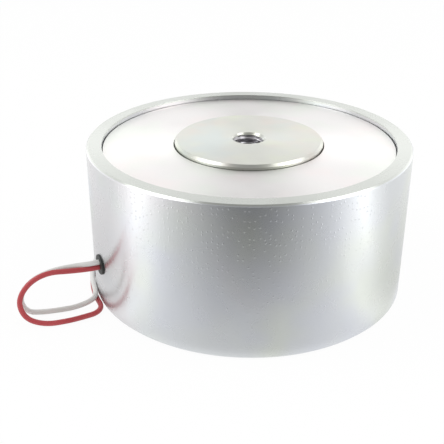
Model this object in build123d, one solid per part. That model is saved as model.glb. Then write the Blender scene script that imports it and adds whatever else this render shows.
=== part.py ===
from build123d import *
import math
import os

os.makedirs("parts", exist_ok=True)

# Holding electromagnet: a turned steel pot with a centre pole, and a coil between them.
# Millimetres, +Z up, origin at the centre of the base face, holding face upwards.

# Steel pot
pot_diameter = 80.0
pot_height = 38.0
pot_wall = 3.75
pot_base = 8.0
rim_chamfer = 0.5
foot_chamfer = 0.8
pot_corner_radius = 0.5

# Centre pole, pressed into the base by its spigot and flush with the rim
pole_diameter = 36.8
pole_chamfer = 0.6
spigot_diameter = 24.0
spigot_chamfer = 0.3

# Threaded hole through the pole, M8 by its tap drill
thread_core_diameter = 6.8
thread_mouth_diameter = 8.4

# Cover plate, set below the rim
plate_recess = 1.2
plate_thickness = 1.5
plate_gap = 0.25
plate_edge_break = 0.15

# Coil bobbin
bobbin_pole_clearance = 0.2
bobbin_wall_clearance = 0.65
hub_wall = 1.0
lower_flange = 1.6
upper_flange = 1.2
resin_bed = 0.8

# Winding, its wrap and its wire, and the room that leads and splices need inside the wall
lead_room = 4.0
wrap_thickness = 0.25
winding_wire_diameter = 0.5
sleeving_diameter = 0.9
slot_clearance = 0.1

# Leads
lead_diameter = 1.3
lead_strands_diameter = 0.8
tip_length = 6.0
lead_exit_run = 2.5

# Rubber bush in the wall
bush_azimuth = 205.5
bush_height = 11.7
bush_flange_diameter = 5.1
bush_flange_thickness = 0.4
bush_sleeve_diameter = 3.8
bush_lip_diameter = 4.5
bush_lip_thickness = 0.6
bush_hole_clearance = 0.05
lead_spacing = 1.4

# Soldered joints between leads and winding wire
splice_diameter = 1.1
splice_sleeve_diameter = 1.9
splice_room = 0.7
lead_end_angle = 14.0
splice_angle = 9.0
sleeve_overlap_angle = 3.0
bend_clearance = 0.15
tail_bend_radius = 0.8
tail_rise_radius = 0.3
finish_tail_angle = 9.0
start_tail_run = 4.5
start_tail_inset = 1.0

# Put-away coils of the leads, sized so that both leads are equally long
red_coil_mid_diameter = 13.0
white_coil_mid_diameter = 15.6
coil_layers = 2
coil_turns_per_layer = 2
coil_slack = 0.1
coil_lift = 0.05
coil_entry_length = 7.0
coil_approach_run = 3.5
coil_tail_length = 16.0

# Worked-out radii and heights
pot_radius = pot_diameter / 2
cavity_radius = pot_radius - pot_wall
pole_radius = pole_diameter / 2
plate_top = pot_height - plate_recess
plate_bottom = plate_top - plate_thickness
upper_flange_top = plate_bottom - resin_bed
upper_flange_bottom = upper_flange_top - upper_flange
lower_flange_top = pot_base + lower_flange
bobbin_bore_radius = pole_radius + bobbin_pole_clearance
hub_radius = bobbin_bore_radius + hub_wall
flange_radius = cavity_radius - bobbin_wall_clearance
wrap_radius = cavity_radius - lead_room
winding_radius = wrap_radius - wrap_thickness
lead_radius = lead_diameter / 2
bush_face_radius = pot_radius + bush_flange_thickness
lip_face_radius = cavity_radius - bush_lip_thickness
lead_track_radius = wrap_radius + splice_sleeve_diameter / 2 + splice_room
lead_bend_radius = lip_face_radius - bend_clearance - lead_track_radius
red_height = bush_height - lead_spacing / 2
white_height = bush_height + lead_spacing / 2
splice_end_angle = lead_end_angle + splice_angle
finish_azimuth = bush_azimuth + splice_end_angle + finish_tail_angle
start_azimuth = bush_azimuth - splice_end_angle - math.degrees(math.atan(start_tail_run / lead_track_radius))
slot_height = lower_flange_top - sleeving_diameter / 2
coil_half_width = coil_turns_per_layer * lead_radius + coil_slack
coil_height = coil_layers * lead_diameter

# Routes of the free leads, from the bush to where each coil starts, chosen by hand.
# Both make a loop in the air, come down to the floor and go round behind the pot.
red_route = [
    (-42.8, -20.4, 11.4),
    (-47.9, -22.4, 12.0),
    (-52.2, -24.1, 10.3),
    (-54.9, -25.5, 6.2),
    (-53.2, -26.6, 1.8),
    (-48.4, -26.9, 0.65),
    (-43.1, -25.5, 0.65),
    (-39.6, -22.6, 0.65),
    (-39.9, -18.2, 0.65),
    (-42.9, -10.6, 0.65),
    (-44.3, -2.2, 0.65),
    (-43.8, 6.6, 0.65),
    (-41.4, 15.4, 0.65),
    (-36.8, 24.8, 0.65),
    (-31.4, 32.6, 0.65),
    (-26.4, 38.6, 0.65),
]
white_route = [
    (-42.8, -19.6, 12.8),
    (-47.8, -20.6, 12.1),
    (-52.3, -22.4, 10.0),
    (-55.1, -23.6, 6.2),
    (-53.5, -23.9, 1.7),
    (-48.6, -23.0, 0.65),
    (-44.6, -20.1, 0.65),
    (-43.3, -15.5, 0.65),
    (-45.1, -8.6, 0.65),
    (-46.5, 0.0, 0.65),
    (-46.2, 9.4, 0.65),
    (-45.0, 18.4, 0.65),
    (-44.4, 27.2, 0.65),
]

# Where each coil lies, which way its lead arrives and which way its tail leaves
red_coil_centre = (-10.0, 53.0)
red_coil_heading = 62.0
red_tail_heading = 20.0
white_coil_centre = (-35.0, 46.0)
white_coil_heading = 85.0
white_tail_heading = 60.0


def ring(inner_radius, outer_radius, bottom, top):
    """Plain ring about the Z axis."""
    profile = Polyline(
        (inner_radius, 0, bottom), (outer_radius, 0, bottom),
        (outer_radius, 0, top), (inner_radius, 0, top), close=True,
    )
    return revolve(make_face(profile), Axis.Z)


def turned(points):
    """Solid of revolution from (radius, height) points of its half section."""
    profile = Polyline([(radius, 0, height) for radius, height in points], close=True)
    return revolve(make_face(profile), Axis.Z)


def polar(radius, azimuth, height):
    """Point at a radius, an azimuth in degrees and a height."""
    angle = math.radians(azimuth)
    return Vector(radius * math.cos(angle), radius * math.sin(angle), height)


def direction(heading):
    """Unit vector in the floor plane, heading in degrees from +X."""
    return polar(1, heading, 0)


def rod(start, end, diameter):
    """Straight round rod between two points."""
    start = Vector(start)
    axis = Vector(end) - start
    return extrude(Plane(start, z_dir=axis) * Circle(diameter / 2), axis.length)


def bent_rod(path, diameter):
    """Round section carried along a path of lines and arcs."""
    return sweep(Plane(path @ 0, z_dir=path % 0) * Circle(diameter / 2), path=path)


def arc_rod(radius, height, diameter, start, end):
    """Round rod bent about the Z axis, between two azimuths."""
    low = min(start, end)
    section = Plane(polar(radius, low, height), z_dir=direction(low + 90)) * Circle(diameter / 2)
    return revolve(section, Axis.Z, abs(end - start))


def corner_radii(points):
    """Radius of each arc on a route: 0.45 of its shorter run over the tangent of half the turn."""
    radii = []
    for before, corner, after in zip(points, points[1:], points[2:]):
        arriving = Vector(corner) - Vector(before)
        leaving = Vector(after) - Vector(corner)
        half_turn = math.radians(arriving.get_angle(leaving)) / 2
        radii.append(0.45 * min(arriving.length, leaving.length) / math.tan(half_turn))
    return radii


# Turned steel cup, with the foot and the rim chamfered
def make_pot_housing():
    body = turned([
        (spigot_diameter / 2, 0),
        (pot_radius - foot_chamfer, 0),
        (pot_radius, foot_chamfer),
        (pot_radius, pot_height - rim_chamfer),
        (pot_radius - rim_chamfer, pot_height),
        (cavity_radius, pot_height),
        (cavity_radius, pot_base),
        (spigot_diameter / 2, pot_base),
    ])
    corner = body.edges().filter_by(GeomType.CIRCLE).filter_by(
        lambda edge: abs(edge.radius - cavity_radius) < 1e-6 and abs(edge.center().Z - pot_base) < 1e-6
    )
    body = fillet(corner, pot_corner_radius)
    hole = rod(
        polar(cavity_radius - pot_wall, bush_azimuth, bush_height),
        polar(pot_radius + pot_wall, bush_azimuth, bush_height),
        bush_sleeve_diameter + 2 * bush_hole_clearance,
    )
    return body - hole


# Centre pole: a shouldered spigot below, the pole face above, one hole through
def make_pole_core():
    mouth_depth = (thread_mouth_diameter - thread_core_diameter) / 2
    return turned([
        (thread_mouth_diameter / 2, 0),
        (spigot_diameter / 2 - spigot_chamfer, 0),
        (spigot_diameter / 2, spigot_chamfer),
        (spigot_diameter / 2, pot_base),
        (pole_radius, pot_base),
        (pole_radius, pot_height - pole_chamfer),
        (pole_radius - pole_chamfer, pot_height),
        (thread_mouth_diameter / 2, pot_height),
        (thread_core_diameter / 2, pot_height - mouth_depth),
        (thread_core_diameter / 2, mouth_depth),
    ])


# Thin turned ring with its upper edges broken
def make_cover_plate():
    inner = pole_radius + plate_gap
    outer = cavity_radius - plate_gap
    return turned([
        (inner, plate_bottom),
        (outer, plate_bottom),
        (outer, plate_top - plate_edge_break),
        (outer - plate_edge_break, plate_top),
        (inner + plate_edge_break, plate_top),
        (inner, plate_top - plate_edge_break),
    ])


# Moulded spool: hub, two flanges, and a radial slot for the start of the winding
def make_coil_bobbin():
    spool = turned([
        (bobbin_bore_radius, pot_base),
        (flange_radius, pot_base),
        (flange_radius, lower_flange_top),
        (hub_radius, lower_flange_top),
        (hub_radius, upper_flange_bottom),
        (flange_radius, upper_flange_bottom),
        (flange_radius, upper_flange_top),
        (bobbin_bore_radius, upper_flange_top),
    ])
    slot = Box(
        cavity_radius, sleeving_diameter + 2 * slot_clearance, sleeving_diameter,
        align=(Align.MIN, Align.CENTER, Align.MAX),
    )
    slot = Rot(0, 0, start_azimuth) * Pos(0, 0, lower_flange_top) * slot
    slot -= Cylinder(hub_radius, lower_flange_top, align=(Align.CENTER, Align.CENTER, Align.MIN))
    return spool - slot


# Push-in bush: outer flange on the wall, sleeve through it, lip behind it, two bores
def make_lead_bush():
    outward = direction(bush_azimuth)
    flange = rod(
        outward * cavity_radius + Vector(0, 0, bush_height),
        outward * bush_face_radius + Vector(0, 0, bush_height),
        bush_flange_diameter,
    )
    flange -= Cylinder(pot_radius, pot_height, align=(Align.CENTER, Align.CENTER, Align.MIN))
    lip = rod(
        outward * lip_face_radius + Vector(0, 0, bush_height),
        outward * pot_radius + Vector(0, 0, bush_height),
        bush_lip_diameter,
    )
    lip &= Cylinder(cavity_radius, pot_height, align=(Align.CENTER, Align.CENTER, Align.MIN))
    sleeve = rod(
        outward * lip_face_radius + Vector(0, 0, bush_height),
        outward * bush_face_radius + Vector(0, 0, bush_height),
        bush_sleeve_diameter,
    )
    bush = flange + sleeve + lip
    for height in (red_height, white_height):
        bush -= rod(
            outward * (lip_face_radius - lead_diameter) + Vector(0, 0, height),
            outward * (bush_face_radius + lead_diameter) + Vector(0, 0, height),
            lead_diameter,
        )
    return bush


# A lead from the bush's outer face to its splice: straight in, then round the winding
def make_inner_lead(height, side):
    swing = math.degrees(math.asin(lead_bend_radius / (lead_track_radius + lead_bend_radius)))
    outward = direction(bush_azimuth)
    bend_start = math.sqrt((lead_track_radius + lead_bend_radius) ** 2 - lead_bend_radius ** 2)
    straight = Line(outward * bush_face_radius, outward * bend_start)
    bend = JernArc(straight @ 1, -outward, lead_bend_radius, -side * (90 - swing))
    section = Plane(straight @ 0, z_dir=-outward) * Circle(lead_radius)
    bent = Pos(0, 0, height) * sweep(section, path=Wire([straight, bend]))
    track = arc_rod(
        lead_track_radius, height, lead_diameter,
        bush_azimuth + side * swing, bush_azimuth + side * lead_end_angle,
    )
    return bent + track


# The winding's finish leaves the outer layer radially and turns back towards the splice
def make_finish_tail():
    bend_centre = lead_track_radius - tail_bend_radius
    swing = math.degrees(math.asin(tail_bend_radius / bend_centre))
    outward = direction(finish_azimuth)
    bend_start = math.sqrt(bend_centre ** 2 - tail_bend_radius ** 2)
    straight = Line(outward * winding_radius, outward * bend_start)
    bend = JernArc(straight @ 1, outward, tail_bend_radius, -(90 + swing))
    section = Plane(straight @ 0, z_dir=outward) * Circle(winding_wire_diameter / 2)
    bent = Pos(0, 0, red_height) * sweep(section, path=Wire([straight, bend]))
    track = arc_rod(
        lead_track_radius, red_height, winding_wire_diameter,
        finish_azimuth - swing, bush_azimuth + splice_end_angle,
    )
    return bent + track


# The winding's start comes out along the slot under the winding and rises to the splice
def make_start_tail():
    leave = bush_azimuth - splice_end_angle
    joint_end = polar(lead_track_radius, leave, white_height)
    turn_down = joint_end + direction(leave - 90) * start_tail_run
    slot_mouth = Vector(turn_down.X, turn_down.Y, slot_height)
    slot_end = polar(hub_radius + start_tail_inset, start_azimuth, slot_height)
    winding_start = Vector(slot_end.X, slot_end.Y, lower_flange_top)
    path = FilletPolyline(
        joint_end, turn_down, slot_mouth, slot_end, winding_start,
        radius=[tail_bend_radius, tail_bend_radius, tail_rise_radius],
    )
    return bent_rod(path, winding_wire_diameter)


# Insulating sleeving on the start tail, as far as it lies under the winding
def make_start_sleeving():
    inner_end = polar(hub_radius + start_tail_inset + sleeving_diameter, start_azimuth, slot_height)
    outer_end = polar(wrap_radius, start_azimuth, slot_height)
    return rod(inner_end, outer_end, sleeving_diameter) - rod(inner_end, outer_end, winding_wire_diameter)


# Soldered joint between a lead and a tail, and the sleeve shrunk over it
def make_splice(height, side):
    return arc_rod(
        lead_track_radius, height, splice_diameter,
        bush_azimuth + side * lead_end_angle, bush_azimuth + side * splice_end_angle,
    )


def make_splice_sleeve(height, side, held):
    sleeve = arc_rod(
        lead_track_radius, height, splice_sleeve_diameter,
        bush_azimuth + side * (lead_end_angle - sleeve_overlap_angle),
        bush_azimuth + side * (splice_end_angle + sleeve_overlap_angle),
    )
    for piece in held:
        sleeve -= piece
    return sleeve


# Cast resin: a bed under the cover plate, and the fill round the winding and its leads
def make_potting_resin(held):
    body = turned([
        (pole_radius, plate_bottom),
        (pole_radius, upper_flange_top),
        (flange_radius, upper_flange_top),
        (flange_radius, upper_flange_bottom),
        (wrap_radius, upper_flange_bottom),
        (wrap_radius, lower_flange_top),
        (flange_radius, lower_flange_top),
        (flange_radius, pot_base),
        (cavity_radius, pot_base),
        (cavity_radius, plate_bottom),
    ])
    corner = body.edges().filter_by(GeomType.CIRCLE).filter_by(
        lambda edge: abs(edge.radius - cavity_radius) < 1e-6 and abs(edge.center().Z - pot_base) < 1e-6
    )
    body = fillet(corner, pot_corner_radius)
    for piece in held:
        body -= piece
    return body


# Free stretch of a lead: straight runs joined by arcs, square to the bush and to the coil
def make_free_lead(name, height, route, centre, mid_diameter, heading):
    coil_start = coil_point(centre, mid_diameter, heading) - direction(heading) * coil_entry_length
    points = [
        polar(bush_face_radius, bush_azimuth, height),
        polar(bush_face_radius + lead_exit_run, bush_azimuth, height),
        *route,
        coil_start - direction(heading) * coil_approach_run,
        coil_start,
    ]
    radii = corner_radii(points)
    path = FilletPolyline(*points, radius=radii)
    lead = bent_rod(path, lead_diameter)
    section_volume = math.pi * lead_radius ** 2 * path.length
    print(name, "radii", [round(radius, 1) for radius in radii])
    print(name, "length", round(path.length, 1), "volume ratio", round(lead.volume / section_volume, 4))
    return lead


def coil_point(centre, mid_diameter, heading):
    """Where a lead that runs clockwise round a coil has the given heading, on the outer turn."""
    turn_radius = mid_diameter / 2 + coil_half_width - coil_slack - lead_radius
    return Vector(*centre, lead_radius) + direction(heading + 90) * turn_radius


# Outer shape of a put-away coil, with the lead's way in and its tail.
# Its flat underside lies just above the floor, which the round lead touches.
def make_lead_coil(centre, mid_diameter, heading, tail_heading):
    mid_radius = mid_diameter / 2
    turns = ring(mid_radius - coil_half_width, mid_radius + coil_half_width, coil_lift, coil_height)
    turns = Pos(*centre) * turns
    arrival = coil_point(centre, mid_diameter, heading)
    leaving = coil_point(centre, mid_diameter, tail_heading)
    entry = rod(arrival - direction(heading) * coil_entry_length, arrival, lead_diameter)
    tail = rod(leaving, leaving + direction(tail_heading) * coil_tail_length, lead_diameter)
    return turns + entry + tail


def make_lead_tip(centre, mid_diameter, tail_heading):
    along = direction(tail_heading)
    start = coil_point(centre, mid_diameter, tail_heading) + along * coil_tail_length
    return rod(start, start + along * tip_length, lead_strands_diameter)


lead_bush = make_lead_bush()
red_lead_inner = make_inner_lead(red_height, 1)
white_lead_inner = make_inner_lead(white_height, -1)
finish_tail = make_finish_tail()
start_tail = make_start_tail()
red_splice = make_splice(red_height, 1)
white_splice = make_splice(white_height, -1)
red_splice_sleeve = make_splice_sleeve(red_height, 1, [red_lead_inner, red_splice, finish_tail])
white_splice_sleeve = make_splice_sleeve(white_height, -1, [white_lead_inner, white_splice, start_tail])
winding_wrap = ring(winding_radius, wrap_radius, lower_flange_top, upper_flange_bottom) - finish_tail
potting_resin = make_potting_resin([
    lead_bush, red_lead_inner, white_lead_inner, finish_tail, start_tail,
    red_splice, white_splice, red_splice_sleeve, white_splice_sleeve,
])

pieces = {
    "pot_housing": make_pot_housing(),
    "pole_core": make_pole_core(),
    "cover_plate": make_cover_plate(),
    "coil_bobbin": make_coil_bobbin(),
    "coil_winding": ring(hub_radius, winding_radius, lower_flange_top, upper_flange_bottom),
    "winding_wrap": winding_wrap,
    "start_tail": start_tail,
    "start_sleeving": make_start_sleeving(),
    "finish_tail": finish_tail,
    "red_lead_inner": red_lead_inner,
    "white_lead_inner": white_lead_inner,
    "red_splice": red_splice,
    "white_splice": white_splice,
    "red_splice_sleeve": red_splice_sleeve,
    "white_splice_sleeve": white_splice_sleeve,
    "potting_resin": potting_resin,
    "lead_bush": lead_bush,
    "red_lead": make_free_lead(
        "red_lead", red_height, red_route, red_coil_centre, red_coil_mid_diameter, red_coil_heading
    ),
    "white_lead": make_free_lead(
        "white_lead", white_height, white_route, white_coil_centre, white_coil_mid_diameter, white_coil_heading
    ),
    "red_lead_coil": make_lead_coil(
        red_coil_centre, red_coil_mid_diameter, red_coil_heading, red_tail_heading
    ),
    "white_lead_coil": make_lead_coil(
        white_coil_centre, white_coil_mid_diameter, white_coil_heading, white_tail_heading
    ),
    "red_lead_tip": make_lead_tip(red_coil_centre, red_coil_mid_diameter, red_tail_heading),
    "white_lead_tip": make_lead_tip(white_coil_centre, white_coil_mid_diameter, white_tail_heading),
}

for name, piece in pieces.items():
    export_step(piece, f"parts/{name}.step")
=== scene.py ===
"""Looks of a holding electromagnet.

A turned, bright zinc plated steel pot stands on its base with the holding face up. In the face lie the
cover plate of turned aluminium and the pole with its threaded hole, and a black rubber bush in the wall
lets out one red and one white lead, which are wound up behind the pot.

The pot's axis is Z and its base lies at height 0. Lengths are in metres and angles in degrees, unless a
docstring says otherwise.
"""

import logging
import math
from dataclasses import dataclass, field
from enum import Enum

import bmesh
import bpy
import numpy as np
from mathutils import Matrix, Vector

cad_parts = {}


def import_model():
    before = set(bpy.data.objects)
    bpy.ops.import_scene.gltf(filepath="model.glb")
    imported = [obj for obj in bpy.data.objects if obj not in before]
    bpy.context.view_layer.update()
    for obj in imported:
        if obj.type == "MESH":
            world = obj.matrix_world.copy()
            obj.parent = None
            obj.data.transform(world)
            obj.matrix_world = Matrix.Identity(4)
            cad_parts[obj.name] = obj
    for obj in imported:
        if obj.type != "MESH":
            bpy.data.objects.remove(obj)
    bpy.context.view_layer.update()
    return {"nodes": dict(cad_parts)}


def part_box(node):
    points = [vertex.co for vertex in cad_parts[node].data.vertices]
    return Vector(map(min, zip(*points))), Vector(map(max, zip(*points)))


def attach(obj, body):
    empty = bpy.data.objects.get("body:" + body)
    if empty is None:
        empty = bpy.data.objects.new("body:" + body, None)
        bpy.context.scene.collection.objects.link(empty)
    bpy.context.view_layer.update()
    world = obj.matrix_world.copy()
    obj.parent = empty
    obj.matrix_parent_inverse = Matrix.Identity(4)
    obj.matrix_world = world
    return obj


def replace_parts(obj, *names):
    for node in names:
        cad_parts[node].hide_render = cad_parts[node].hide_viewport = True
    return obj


MM = 0.001
SHARP_ANGLE = 40.0
WELD_REACH = 0.002 * MM
AXIS_RADIUS = 1e-7
ROUND_STEPS = 5
SUPPORT_SHARE = 0.35
UP = np.array((0, 0, 1.0))
WHITE = (1.0, 1.0, 1.0, 1.0)
SMOOTH = {"interpolation_type": "SMOOTHSTEP"}
NOISE_MIDDLE = (0.3, 0.7)  # nearly all of a noise texture's values lie between these
log = logging.getLogger("electromagnet")


class Side(Enum):
    """Which side of the studio a lamp stands on, as the camera sees it."""

    LEFT = -1
    RIGHT = 1


# Colours and nodes

def linear(code: str) -> tuple[float, float, float, float]:
    """Turns an sRGB colour into the linear one that shaders use.

    Args:
        code: six hex digits after a hash sign.

    Returns:
        Red, green, blue and an alpha of 1.
    """
    values = np.array([int(code[i:i + 2], 16) for i in (1, 3, 5)]) / 255
    low, high = values / 12.92, ((values + 0.055) / 1.055) ** 2.4
    return (*np.where(values <= 0.04045, low, high).tolist(), 1.0)


def add_node(
    tree: bpy.types.NodeTree, kind: str, settings: dict[str, str] | None = None, **sockets: object,
) -> bpy.types.Node:
    """Adds one node to a tree.

    Args:
        tree: the node tree.
        kind: the node's type, without the ShaderNode that it starts with.
        settings: the node's own properties, by name.
        **sockets: values or output sockets for its inputs, by name with _ for a space, or by in0, in1.

    Returns:
        The new node.
    """
    node = tree.nodes.new("ShaderNode" + kind)
    for key, value in (settings or {}).items():
        setattr(node, key, value)
    for key, value in sockets.items():
        place = int(key[2:]) if key[:2] == "in" and key[2:].isdigit() else key.replace("_", " ")
        if isinstance(value, bpy.types.NodeSocket):
            tree.links.new(value, node.inputs[place])
        else:
            node.inputs[place].default_value = value
    return node


def new_tree(owner: bpy.types.Material | bpy.types.World) -> bpy.types.NodeTree:
    """Empties the node tree of a material or a world.

    Args:
        owner: the material or world.

    Returns:
        Its node tree.
    """
    owner.use_nodes = True
    owner.node_tree.nodes.clear()
    return owner.node_tree


def principled(name: str) -> tuple[bpy.types.Material, bpy.types.NodeTree, bpy.types.Node]:
    """Makes a material with a bare Principled shader.

    Args:
        name: the material's name.

    Returns:
        The material, its node tree and the shader node.
    """
    material = bpy.data.materials.new(name)
    tree = new_tree(material)
    shader = add_node(tree, "BsdfPrincipled")
    add_node(tree, "OutputMaterial", Surface=shader.outputs["BSDF"])
    return material, tree, shader


# Meshes

def grid_quads(rows: int, columns: int, close_rows: bool, close_columns: bool) -> np.ndarray:
    """Quads between neighbouring points of a grid, as corner numbers.

    Args:
        rows: points along the first parameter.
        columns: points along the second parameter.
        close_rows: whether the last row joins the first.
        close_columns: whether the last column joins the first.

    Returns:
        An array of four corner numbers for each quad.
    """
    i = np.arange(rows if close_rows else rows - 1)[:, None]
    j = np.arange(columns if close_columns else columns - 1)[None, :]
    down, right = (i + 1) % rows, (j + 1) % columns
    corners = [i * columns + j, i * columns + right, down * columns + right, down * columns + j]
    return np.stack(np.broadcast_arrays(*corners), -1).reshape(-1, 4)


def weld(mesh: bpy.types.Mesh) -> None:
    """Joins points that fall together and drops faces that shrink to a line.

    Args:
        mesh: the mesh, changed in place.
    """
    shell = bmesh.new()
    shell.from_mesh(mesh)
    bmesh.ops.remove_doubles(shell, verts=shell.verts, dist=WELD_REACH)
    bmesh.ops.dissolve_degenerate(shell, edges=shell.edges, dist=WELD_REACH / 4)
    shell.to_mesh(mesh)
    shell.free()


def make_object(
    name: str, points: np.ndarray, quads: np.ndarray, sharp: float = SHARP_ANGLE,
) -> bpy.types.Object:
    """Puts a surface into the scene, with its faces pointing outwards.

    The signed volume under the faces is the sum of each quad's triple product, and the corners are taken
    the other way round where it is negative. Points that fall together are welded, so rings that shrink
    to the axis close the surface.

    Args:
        name: the object's name.
        points: an array of places, in metres.
        quads: corner numbers of each face.
        sharp: angle between faces, in degrees, from which their edge shows.

    Returns:
        The new object, at the origin.
    """
    flat = points.reshape(-1, 3)
    a, b, c, d = (flat[quads[:, k]] for k in range(4))
    volume = (np.cross(b - a, c - a) * a).sum() + (np.cross(c - a, d - a) * a).sum()
    ordered = quads[:, ::-1] if volume < 0 else quads
    mesh = bpy.data.meshes.new(name)
    mesh.from_pydata(flat.tolist(), [], ordered.tolist())
    weld(mesh)
    mesh.shade_smooth()
    mesh.set_sharp_from_angle(angle=math.radians(sharp))
    piece = bpy.data.objects.new(name, mesh)
    bpy.context.scene.collection.objects.link(piece)
    return piece


def rounded(corners: list[tuple[float, float]], radii: list[float]) -> np.ndarray:
    """Closed section with rounded corners and a support point beside each rounding.

    A corner C becomes the curve (1-t)^2 A + 2t(1-t) C + t^2 B, where A and B lie on its two sides, the
    radius times the tangent of half the turn away from it. The support points lie a little further out.

    Args:
        corners: (across, along) of each corner, in metres.
        radii: the radius at each corner.

    Returns:
        An array of (across, along), with ROUND_STEPS + 3 points for each corner.
    """
    at = np.array(corners, float)
    back, on = np.roll(at, 1, 0) - at, np.roll(at, -1, 0) - at
    back /= np.linalg.norm(back, axis=1)[:, None]
    on /= np.linalg.norm(on, axis=1)[:, None]
    half_turn = (math.pi - np.arccos(np.clip((back * on).sum(1), -1, 1))) / 2
    reach = (np.array(radii) * np.tan(half_turn))[:, None]
    start, end = at + back * reach, at + on * reach
    t = np.linspace(0, 1, ROUND_STEPS + 1)[:, None, None]
    curve = (1 - t) ** 2 * start + 2 * t * (1 - t) * at + t ** 2 * end
    support = SUPPORT_SHARE * reach
    rows = np.concatenate([(start + back * support)[None], curve, (end + on * support)[None]])
    return rows.transpose(1, 0, 2).reshape(-1, 2)


def turn(section: np.ndarray, segments: int) -> np.ndarray:
    """Turns a section about Z: the point at angle a is (r cos a, r sin a, z).

    Args:
        section: an array of (radius, height).
        segments: points round the axis.

    Returns:
        A grid of points, section by angle.
    """
    angle = np.arange(segments) * 2 * math.pi / segments
    across, along = section[:, :1], section[:, 1:]
    return np.stack([across * np.cos(angle), across * np.sin(angle), along + 0 * angle], -1)


def turned_object(name: str, section: np.ndarray, segments: int) -> bpy.types.Object:
    """Solid of revolution from a closed section of (radius, height)."""
    return make_object(name, turn(section, segments), grid_quads(len(section), segments, True, True))


def rod_object(name: str, start: Vector, end: Vector, radius: float, segments: int) -> bpy.types.Object:
    """Straight round cutter: a rectangle turned about Z, faced along the cut and moved to its start.

    Args:
        name: the cutter's name.
        start: the middle of one end.
        end: the middle of the other end.
        radius: the cutter's radius.
        segments: points round the axis.

    Returns:
        The new object.
    """
    axis = end - start
    section = np.array([
        (AXIS_RADIUS, 0), (radius, 0), (radius, axis.length), (AXIS_RADIUS, axis.length)])
    facing = np.array(axis.to_track_quat("Z", "Y").to_matrix())
    points = turn(section, segments).reshape(-1, 3) @ facing.T + np.array(start)
    return make_object(name, points, grid_quads(len(section), segments, False, True))


def drill(piece: bpy.types.Object, cutters: list[bpy.types.Object]) -> None:
    """Cuts the cutters out of a piece for good and removes them.

    Args:
        piece: the piece, whose mesh is changed.
        cutters: closed solids.
    """
    for cutter in cutters:
        cut = piece.modifiers.new(cutter.name, "BOOLEAN")
        cut.operation, cut.solver, cut.object = "DIFFERENCE", "EXACT", cutter
    solved = piece.evaluated_get(bpy.context.evaluated_depsgraph_get())
    mesh = bpy.data.meshes.new_from_object(solved)
    weld(mesh)
    piece.modifiers.clear()
    piece.data = mesh
    mesh.shade_smooth()
    mesh.set_sharp_from_angle(angle=math.radians(SHARP_ANGLE))
    for cutter in cutters:
        bpy.data.objects.remove(cutter)


def dress(piece: bpy.types.Object, material: bpy.types.Material) -> None:
    """Gives a piece one material."""
    piece.data.materials.clear()
    piece.data.materials.append(material)


def report(piece: bpy.types.Object) -> bpy.types.Object:
    """Logs a finished piece and hands it back."""
    log.info("%s: %s", piece.name, type(piece.data).__name__)
    return piece


# Finishes

@dataclass(frozen=True)
class Turning:
    """A material's node tree with sockets for the place on a turned piece, its parts and its radius."""

    tree: bpy.types.NodeTree
    place: bpy.types.NodeSocket
    axes: bpy.types.NodeOutputs
    radius: bpy.types.NodeSocket


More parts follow.
